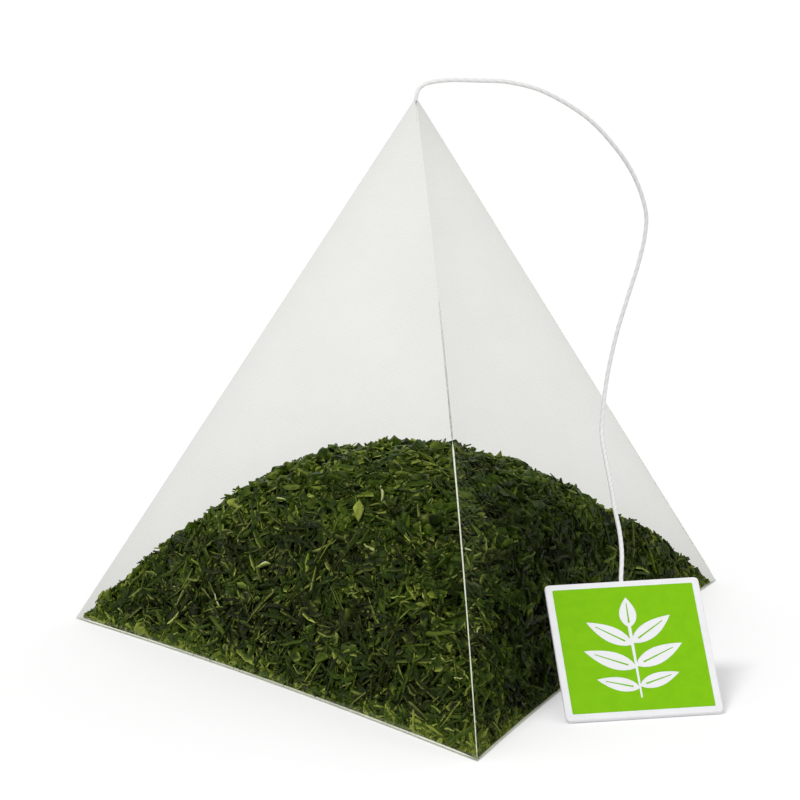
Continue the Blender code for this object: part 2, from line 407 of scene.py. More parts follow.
def make_light():
    world = bpy.data.worlds.new("studio")
    bpy.context.scene.world = world
    world.use_nodes = True
    tree = world.node_tree
    tree.nodes.clear()
    strength = calc(tree, "MULTIPLY_ADD", seen_straight(tree), 1 - ROOM_LIGHT, ROOM_LIGHT)
    background = node(tree, "Background", {"Color": (1, 1, 1, 1), "Strength": strength})
    output = node(tree, "OutputWorld")
    tree.links.new(background.outputs[0], output.inputs["Surface"])
    for name, (azimuth, elevation, power, width) in LAMPS.items():
        data = bpy.data.lights.new(name, "SUN")
        data.energy = power
        data.angle = radians(width)
        lamp = bpy.data.objects.new(name, data)
        a, e = radians(azimuth), radians(elevation)
        towards = Vector((sin(a) * cos(e), -cos(a) * cos(e), sin(e)))
        lamp.rotation_euler = towards.to_track_quat("Z", "Y").to_euler()
        bpy.context.scene.collection.objects.link(lamp)


def make_floor():
    material, tree = material_of("floor_white")
    tone = span(tree, noise(tree, 40.0), 0.3, 0.7, 0.885, 0.895)
    colour = node(tree, "CombineColor", {0: tone, 1: tone, 2: tone})
    matt = node(tree, "BsdfDiffuse", {"Color": colour.outputs[0]})
    glow = calc(tree, "MULTIPLY", seen_straight(tree), FLOOR_GLOW)
    light = node(tree, "Emission", {"Color": (1, 1, 1, 1), "Strength": glow})
    both = node(tree, "AddShader", {0: matt.outputs[0], 1: light.outputs[0]})
    finish_material(tree, both.outputs[0])
    half = 8.0
    points = [(-half, -half, 0), (half, -half, 0), (half, half, 0), (-half, half, 0)]
    floor = object_from("floor", points, [(0, 1, 2), (0, 2, 3)], material, smooth=False)
    floor.location.z = -0.02 * MM


# Thread


def smooth_route(route, spacing):
    """Points at even steps along the smooth curve that runs through the route's own points, and their places on it."""
    padded = [route[0] * 2 - route[1], *route, route[-1] * 2 - route[-2]]
    fine = []
    for before, start, end, after in zip(padded, padded[1:], padded[2:], padded[3:]):
        for step in range(24):
            t = step / 24
            fine.append(
                start
                + (end - before) * t / 2
                + (before * 2 - start * 5 + end * 4 - after) * t * t / 2
                + (start * 3 - before - end * 3 + after) * t * t * t / 2
            )
    fine.append(route[-1])
    fine = np.array(fine)
    walked = np.concatenate([[0], np.cumsum(np.linalg.norm(np.diff(fine, axis=0), axis=1))])
    even = np.linspace(0, walked[-1], round(walked[-1] / spacing) + 1)
    return np.stack([np.interp(even, walked, fine[:, axis]) for axis in range(3)], 1), even


def tube(path, radii, start=(0, 0, 1)):
    """Rings round a path, joined, with closed ends. radii has a number for each ring and side."""
    sides = radii.shape[1]
    along = unit(np.gradient(path, axis=0))
    across = np.cross(along[0], start)
    if np.linalg.norm(across) < 0.001:
        across = np.cross(along[0], (1, 0, 0))
    turn = 2 * pi * np.arange(sides)[:, None] / sides
    rings = []
    for spot, direction, sizes in zip(path, along, radii):
        across = unit(across - direction * (across @ direction))
        other = np.cross(direction, across)
        rings.append(spot + sizes[:, None] * (np.cos(turn) * across + np.sin(turn) * other))
    points = np.concatenate([*rings, path[:1], path[-1:]])
    return points, ring_triangles(len(path), sides)


def ring_triangles(rings, sides):
    """Triangles between rings of points, and from the end rings to the two points that come after them all."""
    triangles = []
    for ring in range(rings - 1):
        for side in range(sides):
            a, b = ring * sides + side, ring * sides + (side + 1) % sides
            triangles += [(a, b, b + sides), (a, b + sides, a + sides)]
    first, last, top = rings * sides, rings * sides + 1, (rings - 1) * sides
    for side in range(sides):
        after = (side + 1) % sides
        triangles += [(after, side, first), (top + side, top + after, last)]
    return np.array(triangles)


def cotton_material():
    material, tree = material_of("cotton")
    fluff = noise(tree, 9000.0)
    # Painted shade: the cotton is a little darker in the grooves between the plies
    colour = blend_colours(tree, attribute(tree, "groove"), rgb(247, 247, 246), rgb(236, 236, 235))
    bump = node(tree, "Bump", {"Height": fluff, "Distance": 0.00002, "Strength": 0.5})
    shader = node(tree, "BsdfPrincipled", {"Base Color": colour, "Roughness": 0.85, "Normal": bump.outputs[0]})
    shader.inputs["Specular IOR Level"].default_value = 0.2
    shader.inputs["Sheen Weight"].default_value = 0.15
    finish_material(tree, shader.outputs[0])
    return material


def make_thread():
    """Two twisted plies of cotton, pressed thin in the tip, with painted shade in the grooves between the plies. The
    last stretch runs into the card's top edge.
    """
    route = [np.array(spot) * MM for spot in THREAD_ROUTE_MM]
    route.append(tag_place(0, TAG_HEIGHT - 1.0 * MM, TAG_THICKNESS / 2))
    path, walked = smooth_route(route, 0.12 * MM)
    sides = 12
    turn = 2 * pi * np.arange(sides) / sides
    twist = 2 * pi * walked / (0.9 * MM)
    wave = np.cos(2 * turn[None, :] - twist[:, None])
    pressed = np.clip((walked / MM - 1.1) / 0.9, 0, 1)[:, None] ** 2
    pressed = np.maximum(pressed, 0.05)
    radii = THREAD_DIAMETER / 2 * pressed * (0.98 + 0.025 * wave)
    points, triangles = tube(path, radii)
    # Painted shade mask: 1 deep in the grooves between the plies, 0 on their crowns
    groove = np.concatenate([(0.5 - 0.5 * wave).ravel() ** 2, [0, 0]])
    thread = object_from("cotton_thread", points, triangles, cotton_material(), groove=groove)
    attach(thread, "root")
    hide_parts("thread")
    return thread, path


# Tag


def tag_place(x, y, out):
    """A point of the tag: x from its middle, y up from its bottom edge, out from its back face."""
    low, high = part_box("tag")
    rise = np.array([0, cos(TAG_SLOPE), sin(TAG_SLOPE)])
    facing = np.array([0, -sin(TAG_SLOPE), cos(TAG_SLOPE)])
    foot = np.array([(low.x + high.x) / 2, low.y + sin(TAG_SLOPE) * TAG_THICKNESS, 0])
    return foot + np.array([x, 0, 0]) + rise * y + facing * out


def outline_of(width, height, corner, steps=6):
    """Points round a rounded rectangle that stands on the X axis, anticlockwise."""
    centres = (
        (width / 2 - corner, corner, -90),
        (width / 2 - corner, height - corner, 0),
        (corner - width / 2, height - corner, 90),
        (corner - width / 2, corner, 180),
    )
    points = []
    for x, y, start in centres:
        for step in range(steps + 1):
            turn = radians(start + 90 * step / steps)
            points.append((x + corner * cos(turn), y + corner * sin(turn)))
    return np.array(points)


def plate(rings, middle):
    """A closed plate from outlines of the same number of points, each with its own height, from back to front."""
    points = [tag_place(x, y, out) for outline, out in rings for x, y in outline]
    points += [tag_place(*middle, rings[0][1]), tag_place(*middle, rings[-1][1])]
    return np.array(points), ring_triangles(len(rings), len(rings[0][0]))


def card_material(name, colour, shade, rough):
    """Coated card: a soft mottle in its colour, a fine fibre in its surface."""
    material, tree = material_of(name)
    fibre = noise(tree, 5200.0)
    tone = blend_colours(tree, span(tree, noise(tree, 900.0, 4.0), 0.35, 0.7), colour, shade)
    bump = node(tree, "Bump", {"Height": fibre, "Distance": 0.00001, "Strength": 0.4})
    shader = node(tree, "BsdfPrincipled", {"Base Color": tone, "Normal": bump.outputs[0]})
    put(tree, shader.inputs["Roughness"], span(tree, fibre, 0.3, 0.7, rough - 0.06, rough + 0.06))
    shader.inputs["Specular IOR Level"].default_value = 0.15
    finish_material(tree, shader.outputs[0])
    return material


def leaf_outline(base, tip, width, steps=11):
    """A pointed leaf from its base to its tip, as an outline, in millimetres."""
    along = tip - base
    sideways = np.array([-along[1], along[0]]) / np.linalg.norm(along) * width / 2
    shares = np.linspace(0, 1, steps)
    swell = np.sin(pi * shares**0.8) ** 0.9
    right = [base + along * s - sideways * w for s, w in zip(shares, swell)]
    left = [base + along * s + sideways * w for s, w in zip(shares, swell)]
    return np.array(right + left[-2:0:-1])


def line_outline(start, end, width):
    """A straight line of ink as an outline, in millimetres, thinner towards its end."""
    along = end - start
    sideways = np.array([-along[1], along[0]]) / np.linalg.norm(along) * width / 2
    return np.array([start - sideways, end - sideways * 0.5, end + sideways * 0.5, start + sideways])


SPRIG_LEAVES = (
    ((0.0, 9.2), (0.1, 12.4), 1.5),
    ((0.0, 7.6), (3.7, 10.3), 1.6),
    ((0.0, 7.4), (-3.7, 10.0), 1.6),
    ((0.0, 5.2), (4.3, 7.3), 1.7),
    ((0.0, 5.0), (-4.3, 7.0), 1.7),
    ((0.0, 3.1), (3.6, 4.3), 1.4),
    ((0.0, 2.9), (-3.6, 4.0), 1.4),
)


def make_tag():
    """White card, a green field printed on it, and a plain sprig of its own design left white in the field."""
    white = card_material("card_white", rgb(244, 244, 246), rgb(240, 240, 242), 0.55)
    green = card_material("card_green", rgb(132, 198, 0), rgb(127, 193, 0), 0.5)
    edge = 0.06 * MM
    outline = outline_of(TAG_WIDTH, TAG_HEIGHT, TAG_CORNER)
    inner = outline_of(TAG_WIDTH - 2 * edge, TAG_HEIGHT - 2 * edge, TAG_CORNER - edge) + (0, edge)
    front = TAG_THICKNESS
    rings = [(inner, 0), (outline, edge), (outline, front - edge), (inner, front)]
    card = object_from("tag_card", *plate(rings, (0, TAG_HEIGHT / 2)), white)
    card.data.set_sharp_from_angle(angle=radians(30))

    border = 0.62 * MM
    ink = 0.012 * MM
    field_outline = outline_of(TAG_WIDTH - 2 * border, TAG_HEIGHT - 2 * border, 0.12 * MM) + (0, border)
    rings = [(field_outline, front - ink), (field_outline, front + ink)]
    field = object_from("tag_field", *plate(rings, (0, TAG_HEIGHT / 2)), green, smooth=False)

    shapes, ribs = [], []
    for base, tip, width in SPRIG_LEAVES:
        base, tip = np.array(base), np.array(tip)
        outline = leaf_outline(base, tip, width) * MM
        shapes.append(plate([(outline, front), (outline, front + 3 * ink)], (base + tip) / 2 * MM))
        rib = line_outline(base + (tip - base) * 0.16, base + (tip - base) * 0.8, 0.16) * MM
        ribs.append(plate([(rib, front), (rib, front + 4 * ink)], (base + tip) / 2 * MM))
    stem = line_outline(np.array((0.0, 9.6)), np.array((0.0, 1.9)), 0.3) * MM
    shapes.append(plate([(stem, front), (stem, front + 2.5 * ink)], (0, 5.7 * MM)))
    sprig = object_from("tag_sprig", *join(shapes), white, smooth=False)
    veins = object_from("tag_sprig_ribs", *join(ribs), green, smooth=False)
    for piece in (card, field, sprig, veins):
        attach(piece, "root")
    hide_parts("tag")
    return [card, field, sprig, veins]


# Pouch


def weave_lines(tree, along):
    """1 on the yarns that cross a coordinate in millimetres and 0 between them."""
    wave = calc(tree, "COSINE", calc(tree, "MULTIPLY", along, 2 * pi / WEAVE_PITCH))
    return span(tree, wave, -0.3, 0.9)


def mesh_material():
    """Fine woven mesh of clear yarn: it lets most light straight through and takes a little off, more at each yarn."""
    material, tree = material_of("woven_mesh")
    where = node(tree, "UVMap", uv_map="weave").outputs["UV"]
    parts = node(tree, "SeparateXYZ", {"Vector": where})
    shift = calc(tree, "MULTIPLY", noise(tree, 0.05, 1.0, where), 2.0)
    warp = weave_lines(tree, calc(tree, "ADD", parts.outputs["X"], shift))
    weft = weave_lines(tree, calc(tree, "ADD", parts.outputs["Y"], shift))
    yarn = calc(tree, "MAXIMUM", warp, weft)
    knot = calc(tree, "MULTIPLY", warp, weft)
    light = calc(tree, "MULTIPLY_ADD", yarn, -0.036, 1.022)
    light = calc(tree, "MULTIPLY_ADD", knot, -0.011, light)
    # The clear attribute holds the mesh's own share of light let through, with painted shade from face_patch
    light = calc(tree, "MULTIPLY", light, attribute(tree, "clear"))
    cloud = noise(tree, 0.16, 3.0, where)
    light = calc(tree, "MULTIPLY", light, span(tree, cloud, 0.3, 0.7, 0.994, 1.006))
    green = calc(tree, "MULTIPLY", light, 1.004)
    blue = calc(tree, "MULTIPLY", light, 0.982)
    tint = node(tree, "CombineColor", {0: light, 1: green, 2: blue})
    through = node(tree, "BsdfTransparent", {"Color": tint.outputs[0]})
    front = node(tree, "BsdfDiffuse", {"Color": rgb(245, 245, 242)})
    behind = node(tree, "BsdfTranslucent", {"Color": rgb(245, 245, 242)})
    cloth = node(tree, "MixShader", {0: 0.4, 1: front.outputs[0], 2: behind.outputs[0]})
    # Painted sheen: the white veil is strongest on every third yarn, as if those yarns caught the light
    every_third = weave_lines(tree, calc(tree, "DIVIDE", calc(tree, "ADD", parts.outputs["Y"], shift), 3.0))
    veil = calc(tree, "MULTIPLY", attribute(tree, "veil"), calc(tree, "MULTIPLY_ADD", every_third, 2.6, 0.1))
    surface = node(tree, "MixShader", {0: veil, 1: through.outputs[0], 2: cloth.outputs[0]})
    finish_material(tree, surface.outputs[0])
    return material


def face_patch(name):
    """One face before it is filled: points, triangles, and for each corner its place in the weave, its clear with
    painted shade, and its veil with painted sheen.
    """
    a, b, apex, clear, veil = FACES[name]
    points, triangles = triangle_grid(a, b, apex, MESH_CUTS)
    along = unit(b - a)
    up = unit(apex - (a + b) / 2)
    places = np.stack([(points - a) @ along, (points - a) @ up], 1) / MM
    outline = np.minimum(edge_distance(points, TIP, LEFT), edge_distance(points, TIP, RIGHT))
    clears = clear * (1 - 0.03 * (1 - points[:, 2] / TIP_HEIGHT)) - 0.03 * np.exp(-outline / (2.0 * MM))
    # Painted shade: the mesh lets less through just above the tea, more so near the front fold
    above_tea = points[:, 2] - np.maximum(heap_top(points[:, 0], points[:, 1]), 0)
    fold = edge_distance(points, TIP, FRONT)
    clears -= 0.045 * (1 + 0.5 * np.exp(-fold / (8 * MM))) * np.exp(-np.maximum(above_tea, 0) / (3.5 * MM))
    # Painted shade along the front fold on the two front faces
    if name in ("left", "right"):
        clears -= 0.03 * np.exp(-fold / (5 * MM))
    veils = np.full(len(points), veil)
    if name == "right":
        # Right face: a painted sheen of paler yarn by the front fold, and painted shade towards its right corner and
        # its tip
        height = points[:, 2] / TIP_HEIGHT
        upper = np.exp(-(((height - 0.34) / 0.12) ** 2))
        veils += 0.012 * np.exp(-((fold / (4.5 * MM)) ** 2)) * upper + 0.006 * np.exp(-fold / (0.7 * MM))
        clears -= 0.008 * (points @ unit(RIGHT) / CORNER_RADIUS).clip(0, 1)
        clears -= 0.09 * np.exp((points[:, 2] - TIP_HEIGHT) / (5.5 * MM))
    if name == "left":
        veils += 0.06 * np.exp(-points[:, 2] / (0.2 * MM))
    corners = triangles.ravel()
    return points, triangles, places[corners], clears[corners], veils[corners]


def lap_patch():
    """The strip where the ribbon's two long edges lie on each other, along the bottom from the right corner."""
    start, end = RIGHT, (LEFT + FRONT) / 2
    along = unit(end - start)
    sideways = np.cross(along, (0, 0, 1)) * LAP_WIDTH / 2
    rows = 40
    points = []
    for row in range(rows + 1):
        spot = start + along * 3 * MM + (end - start - along * 4 * MM) * row / rows
        points += [spot - sideways, spot + sideways]
    triangles = []
    for row in range(rows):
        a = 2 * row
        triangles += [(a, a + 1, a + 3), (a, a + 3, a + 2)]
    points, triangles = np.array(points), np.array(triangles)
    corners = triangles.ravel()
    places = np.stack([points @ unit(sideways), points @ along], 1) / MM
    count = len(corners)
    return points, triangles, places[corners], np.full(count, 0.9), np.full(count, 0.01)


def make_pouch():
    """One ribbon of mesh: faces welded to each other at the folds, and the ribbon's trimmed edges open at the two
    seals.
    """
    patches = [face_patch(name) for name in FACES]
    points = np.concatenate([patch[0] for patch in patches])
    triangles = join([patch[:2] for patch in patches])[1]
    on_fold = np.minimum.reduce([edge_distance(points, a, b) for a, b in FOLDS]) < 0.001 * MM
    cells = np.round(points / (0.01 * MM)).astype(int)
    _, first, group = np.unique(cells, axis=0, return_index=True, return_inverse=True)
    triangles = np.where(on_fold, first[group.ravel()], np.arange(len(points)))[triangles]
    used, triangles = np.unique(triangles, return_inverse=True)
    shaped = filled_shape(points[used])
    shaped[:, 2] = np.maximum(shaped[:, 2], 0.04 * MM)

    lap = lap_patch()
    strip = filled_shape(lap[0]) + (0, 0, 0.02 * MM)
    places, clears, veils = (np.concatenate(values) for values in list(zip(*patches, lap))[2:])
    points, triangles = join([(shaped, triangles.reshape(-1, 3)), (strip, lap[1])])
    pouch = object_from("mesh_pouch", points, triangles, mesh_material(), clear=clears, veil=veils)
    pouch.data.set_sharp_from_angle(angle=radians(40))
    weave = pouch.data.uv_layers.new(name="weave")
    weave.data.foreach_set("uv", places.astype(np.float32).ravel())
    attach(pouch, "root")
    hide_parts("mesh_bag")


def seam_material(name, pale, shade, glow=0.3):
    """Mesh melted together along a seal or pressed into a fold: partly clear, its grain fine."""
    material, tree = material_of(name)
    grain = noise(tree, 2600.0)
    colour = blend_colours(tree, span(tree, grain, 0.35, 0.65), pale, shade)
    bump = node(tree, "Bump", {"Height": grain, "Distance": 0.00003, "Strength": 0.5})
    shader = node(tree, "BsdfPrincipled", {"Base Color": colour, "Roughness": 0.5, "Normal": bump.outputs[0]})
    behind = node(tree, "BsdfTranslucent", {"Color": colour})
    cloth = node(tree, "MixShader", {0: glow, 1: shader.outputs[0], 2: behind.outputs[0]})
    through = node(tree, "BsdfTransparent", {"Color": (0.96, 0.965, 0.945, 1)})
    share = calc(tree, "MULTIPLY", attribute(tree, "solid"), span(tree, grain, 0.3, 0.5, 0.6, 1.0), clamp=True)
    surface = node(tree, "MixShader", {0: share, 1: through.outputs[0], 2: cloth.outputs[0]})
    finish_material(tree, surface.outputs[0])
    return material


def bead(a, b, width, height, solid, outwards=None, out=0.0, ends=(0.012, 0.988), narrow=1.0):
    """A thin strip along an edge of the pouch, its solid share given along the way from a to b."""
    count, sides = 180, 8
    share = np.linspace(*ends, count)
    path = filled_shape(a + (b - a) * share[:, None])
    flat = unit(b - a)
    if outwards is None:
        outwards = np.cross(flat, (0.3, 0.5, 0.8))
    outwards = unit(outwards - flat * (outwards @ flat))
    other = np.cross(flat, outwards)
    path = path + outwards * out
    uneven = 1 + 0.06 * np.sin(share * 37.0) + 0.05 * np.sin(share * 101.0 + 1.0)
    uneven *= np.linspace(1, narrow, count)
    taper = np.clip(np.minimum(np.arange(count), np.arange(count)[::-1]) / 6, 0.2, 1)
    turn = 2 * pi * np.arange(sides)[:, None] / sides
    ring = width / 2 * np.cos(turn) * outwards + height / 2 * np.sin(turn) * other
    rings = path[:, None, :] + (uneven * taper)[:, None, None] * ring[None]
    points = np.concatenate([rings.reshape(-1, 3), path[:1], path[-1:]])
    points[:, 2] = np.maximum(points[:, 2], 0.02 * MM)
    solids = np.interp(share, *zip(*solid))
    solids = np.concatenate([np.repeat(solids, sides), solids[:1], solids[-1:]])
    return points, ring_triangles(count, sides), solids


def make_seams():
    """Folds and seals as thin strips along the pouch's edges, with painted shade on the upper front fold and under the
    base seal.
    """
    pressed = seam_material("pressed_mesh", rgb(248, 249, 238), rgb(230, 232, 214))
    # Painted shade: a grey strip along the upper front fold's crease
    crease_shade = seam_material("fold_crease_shade", rgb(188, 190, 178), rgb(160, 163, 152))
    seal = seam_material("pressed_seal", rgb(252, 254, 240), rgb(242, 245, 224), glow=0.1)
    # Painted shade: a duller strip under the base seal stands for its shaded underside
    seal_underside_shade = seam_material("seal_underside_shade", rgb(224, 228, 208), rgb(200, 204, 184))
    looks = {"front_fold": seal, "base_seal": seal, "base_seal_shade": seal_underside_shade, "upper_fold": crease_shade}
    left_up, right_up = TIP - (LEFT + FRONT) / 2, TIP - (FRONT + RIGHT) / 2
    parts = {
        "front_fold": bead(
            TIP, FRONT, 0.14 * MM, 0.14 * MM, ((0.6, 1), (0.7, 0.8), (1, 0.8)), ends=(0.536, 0.998), narrow=0.6
        ),
        "upper_fold": bead(TIP, FRONT, 0.16 * MM, 0.16 * MM, ((0.32, 0.05), (0.54, 0.5)), ends=(0.32, 0.538)),
        "back_fold": bead(LEFT, RIGHT, 0.12 * MM, 0.12 * MM, ((0, 0.5), (1, 0.5))),
        "right_fold": bead(
            FRONT, RIGHT, 0.24 * MM, 0.12 * MM, ((0, 0.9), (1, 0.5)), right_up, 0.1 * MM, (0.001, 0.99)
        ),
        "base_seal": bead(
            LEFT, FRONT, 0.15 * MM, 0.1 * MM, ((0, 0.9), (0.1, 1.2), (1, 1.3)), left_up, 0.18 * MM, (0.005, 0.999)
        ),
        "base_seal_shade": bead(
            LEFT, FRONT, 0.12 * MM, 0.12 * MM, ((0, 0.4), (0.15, 0.9), (1, 1)), left_up, 0.07 * MM, (0.005, 0.997)
        ),
        "side_seal": bead(
            TIP, RIGHT, 0.12 * MM, 0.08 * MM, ((0, 0.05), (0.6, 0.1), (1, 0.4)), RIGHT + TIP, 0.02 * MM
        ),
    }
    for name, (points, triangles, solid) in parts.items():
        seam = object_from(name, points, triangles, looks.get(name, pressed), solid=solid)
        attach(seam, "root")


# Tea


def leaf_material(name, gloss):
    """Dried rolled leaf: dark green to olive by leaf, with painted highlights and glints along its ridges, fine
    wrinkles and a soft gloss.
    """
    material, tree = material_of(name)
    patch = noise(tree, 1700.0)
    fine = noise(tree, 7000.0, 2.0)
    mottle = calc(tree, "MULTIPLY", calc(tree, "SUBTRACT", patch, 0.5), 0.45)
    ramp = node(tree, "ValToRGB", {"Fac": calc(tree, "ADD", attribute(tree, "tone"), mottle, clamp=True)})
    stops = ramp.color_ramp.elements
    for stop, (position, colour) in zip((stops[0], stops[1]), (LEAF_COLOURS[0], LEAF_COLOURS[-1])):
        stop.position, stop.color = position, rgb(*colour)
    for position, colour in LEAF_COLOURS[1:-1]:
        stops.new(position).color = rgb(*colour)
    # Painted highlights: pale yellow-green lines along the needles' ridges and pale specks on the other pieces
    line = calc(tree, "POWER", attribute(tree, "ridge"), 2.4, clamp=True)
    line = calc(tree, "MULTIPLY", line, span(tree, fine, 0.3, 0.6, 0.4, 1.0))
    lit = blend_colours(tree, line, ramp.outputs["Color"], rgb(226, 240, 116))
    # Painted glints: near white where the painted highlight value runs over 1
    lit = blend_colours(tree, span(tree, attribute(tree, "ridge"), 0.98, 1.3), lit, rgb(250, 252, 225))
    bump = node(tree, "Bump", {"Height": fine, "Distance": 0.00005, "Strength": 0.7})
    shader = node(tree, "BsdfPrincipled", {"Base Color": lit, "Normal": bump.outputs[0]})
    put(tree, shader.inputs["Roughness"], span(tree, patch, 0.35, 0.65, 0.22, 0.45))
    shader.inputs["Specular IOR Level"].default_value = gloss
    shader.inputs["Specular Tint"].default_value = (0.8, 0.95, 0.45, 1)
    finish_material(tree, shader.outputs[0])
    return material


def basis(random, normals, tilt, along=None):
    """Axes for pieces that lie on a surface: along, sideways and up, for each normal, leaning at random by tilt."""
    count = len(normals)
    up = unit(normals + random.standard_normal((count, 3)) * tilt[:, None])
    if along is None:
        along = random.standard_normal((count, 3)) * (1, 1, 0.5)
    along = unit(along - (along * up).sum(1)[:, None] * up)
    return along, np.cross(up, along), up


def needles(random, count, size=1.0):
    """Rolled leaves: slim, a little curved and twisted, grooved on one side, with painted highlights along two edges
    and uneven ends.
    """
    rings, sides = 5, 4
    short = random.uniform(0, 1, count) < 0.4
    length = np.clip(random.lognormal(0.0, 0.3, count), 0.5, 1.7) * np.where(short, 1.4, 3.0) * size * MM
    width = np.clip(random.normal(0.44, 0.1, count), 0.26, 0.72) * size * MM
    thick = width * random.uniform(0.55, 0.9, count)
    share = np.linspace(-0.5, 0.5, rings)
    bend = random.normal(0, 0.04, (count, 1)) * length[:, None]
    lift = random.normal(0, 0.03, (count, 1)) * length[:, None]
    kink = random.normal(0, 0.016, (count, rings)) * length[:, None]
    blunt = random.uniform(3.0, 12.0, (count, 1))
    swell = (1 - np.abs(2 * share[None] * 0.96) ** blunt) ** 0.6 * random.uniform(0.75, 1.15, (count, rings))
    turn = 2 * pi * np.arange(sides) / sides
    twist = random.normal(0, 1.0, (count, 1, 1)) * share[None, :, None] + random.uniform(0, 2 * pi, (count, 1, 1))
    angle = turn[None, None, :] + twist
    reach = swell[:, :, None] * random.uniform(0.85, 1.15, (count, rings, sides))
    reach[:, :, 1] *= 0.7
    local = np.zeros((count, rings * sides + 2, 3))
    x = share[None, :, None] * length[:, None, None] + 0 * angle
    y = (bend * (1 - 4 * share**2) + kink)[:, :, None] + reach * np.cos(angle) * width[:, None, None] / 2
    z = (lift * (1 - 4 * share**2))[:, :, None] + reach * np.sin(angle) * thick[:, None, None] / 2
    local[:, :-2] = np.stack([x, y, z], -1).reshape(count, -1, 3)
    local[:, -2] = local[:, :sides].mean(1)
    local[:, -1] = local[:, -2 - sides : -2].mean(1)
    # Painted highlights: strong on about a third of the needles, with a painted white glint on a few
    chance = random.uniform(0, 1, (count, 1, 1))
    shine = np.where(
        chance < 0.32, random.uniform(0.85, 1.0, (count, 1, 1)), random.uniform(0.1, 0.6, (count, 1, 1))
    )
    shine = np.where(chance < 0.035, 1.5, shine)
    ridge = np.zeros((count, rings, sides))
    ridge[:, :, 0] = 1
    ridge[:, :, 2] = 0.7
    ridge = (ridge * shine * random.uniform(0.75, 1, (count, rings, 1))).reshape(count, -1)
    ridge = np.concatenate([ridge, np.zeros((count, 2))], 1)
    return local, ring_triangles(rings, sides), ridge


def flakes(random, count, size=1.0):
    """Torn bits of leaf: thin, dished plates with an uneven outline."""
    sides = 7
    across = np.clip(random.lognormal(0, 0.35, count), 0.5, 2.0)[:, None] * 0.46 * size * MM
    stretch = random.uniform(1.0, 2.2, (count, 1))
    thick = random.uniform(0.06, 0.14, (count, 1)) * MM
    turn = 2 * pi * (np.arange(sides)[None] + random.uniform(-0.3, 0.3, (count, sides))) / sides
    reach = across * random.uniform(0.65, 1.15, (count, sides))
    x, y = reach * np.cos(turn) * stretch, reach * np.sin(turn)
    curl = random.normal(0, 0.4, (count, 1)) / across
    z = curl * (y**2 - across**2 * 0.5) + random.normal(0, 0.08, (count, sides)) * across
    top = np.stack([x, y, z + thick / 2], -1)
    low = np.stack([x, y, z - thick / 2], -1)
    centre = np.zeros((count, 2, 3))
    centre[:, :, 2] = -curl * across**2 * 0.5 + thick * (-0.5, 0.5)
    local = np.concatenate([low, top, centre], 1)
    ridge = np.zeros((count, 2 * sides + 2))
    # Painted glints: pale specks at random points of each flake
    ridge[:, : 2 * sides] = random.uniform(0, 1, (count, 2 * sides)) ** 2
    return local, ring_triangles(2, sides), ridge


def crumb_form():
    """The twelve points and twenty faces of an icosahedron."""
    golden = (1 + sqrt(5)) / 2
    points = []
    for a in (-1, 1):
        for b in (-golden, golden):
            points += [(a, b, 0), (0, a, b), (b, 0, a)]
    ball = np.array(points) / sqrt(1 + golden**2)
    side = 2 / sqrt(1 + golden**2)
    faces = []
    for i in range(12):
        for j in range(i + 1, 12):
            for k in range(j + 1, 12):
                lengths = [np.linalg.norm(ball[p] - ball[q]) for p, q in ((i, j), (j, k), (i, k))]
                if max(lengths) < side * 1.01:
                    inward = np.cross(ball[j] - ball[i], ball[k] - ball[i]) @ ball[i] < 0
                    faces.append((i, k, j) if inward else (i, j, k))
    return ball, np.array(faces)


CRUMB_BALL, CRUMB_FACES = crumb_form()


def crumbs(random, count, size=1.0):
    """Broken bits of leaf, small and angular."""
    radius = np.clip(random.lognormal(0, 0.35, count), 0.5, 2.0)[:, None, None] * 0.19 * size * MM
    stretch = random.uniform(0.4, 1.9, (count, 1, 3))
    local = CRUMB_BALL[None] * radius * stretch * random.uniform(0.55, 1.25, (count, 12, 1))
    # Painted glints: pale specks at random points of each crumb
    return local, CRUMB_FACES, 0.8 * random.uniform(0, 1, (count, 12)) ** 3


def settled(points, clearance, above):
    """Whole pieces, as (piece, point, 3), moved until each is clear of the pouch and lies no higher than the heap."""
    count, each, _ = points.shape
    for name in [*OUTWARDS] * 3:
        over = (points[:, :, 2] - heap_top(points[:, :, 0], points[:, :, 1])).max(1) - above
        points[:, :, 2] -= np.maximum(over, 0)[:, None]
        out = outside_by(points.reshape(-1, 3), name).reshape(count, each).max(1) + clearance
        points = points - (np.maximum(out, 0)[:, None] * OUTWARDS[name])[:, None]
        points[:, :, 2] += np.maximum(clearance - points[:, :, 2].min(1), 0)[:, None]
    return points


def well_placed(points, rise):
    """Whether each whole piece lies inside the pouch and not above the heap."""
    flat = points.reshape(-1, 3)
    out = np.max([outside_by(flat, name) for name in OUTWARDS], axis=0).reshape(points.shape[:2]).max(1)
    over = (points[:, :, 2] - heap_top(points[:, :, 0], points[:, :, 1])).max(1)
    return (out < -0.02 * MM) & (over < 0.55 * MM + rise)


def top_spots(random, count, low_y, high_y):
    """Places over a part of the heap's top, and the way up there."""
    x = random.uniform(-0.031, 0.031, count * 5)
    y = random.uniform(low_y, high_y, count * 5)
    points = np.stack([x, y, heap_top(x, y)], 1)
    within = [outside_by(points, name) < -0.2 * MM for name in OUTWARDS]
    points = points[(points[:, 2] > 0.3 * MM) & np.all(within, axis=0)][:count]
    step = 0.01 * MM
    slope_x = (heap_top(points[:, 0] + step, points[:, 1]) - points[:, 2]) / step
    slope_y = (heap_top(points[:, 0], points[:, 1] + step) - points[:, 2]) / step
    normals = unit(np.stack([-slope_x, -slope_y, np.ones(len(points))], 1))
    return points, normals


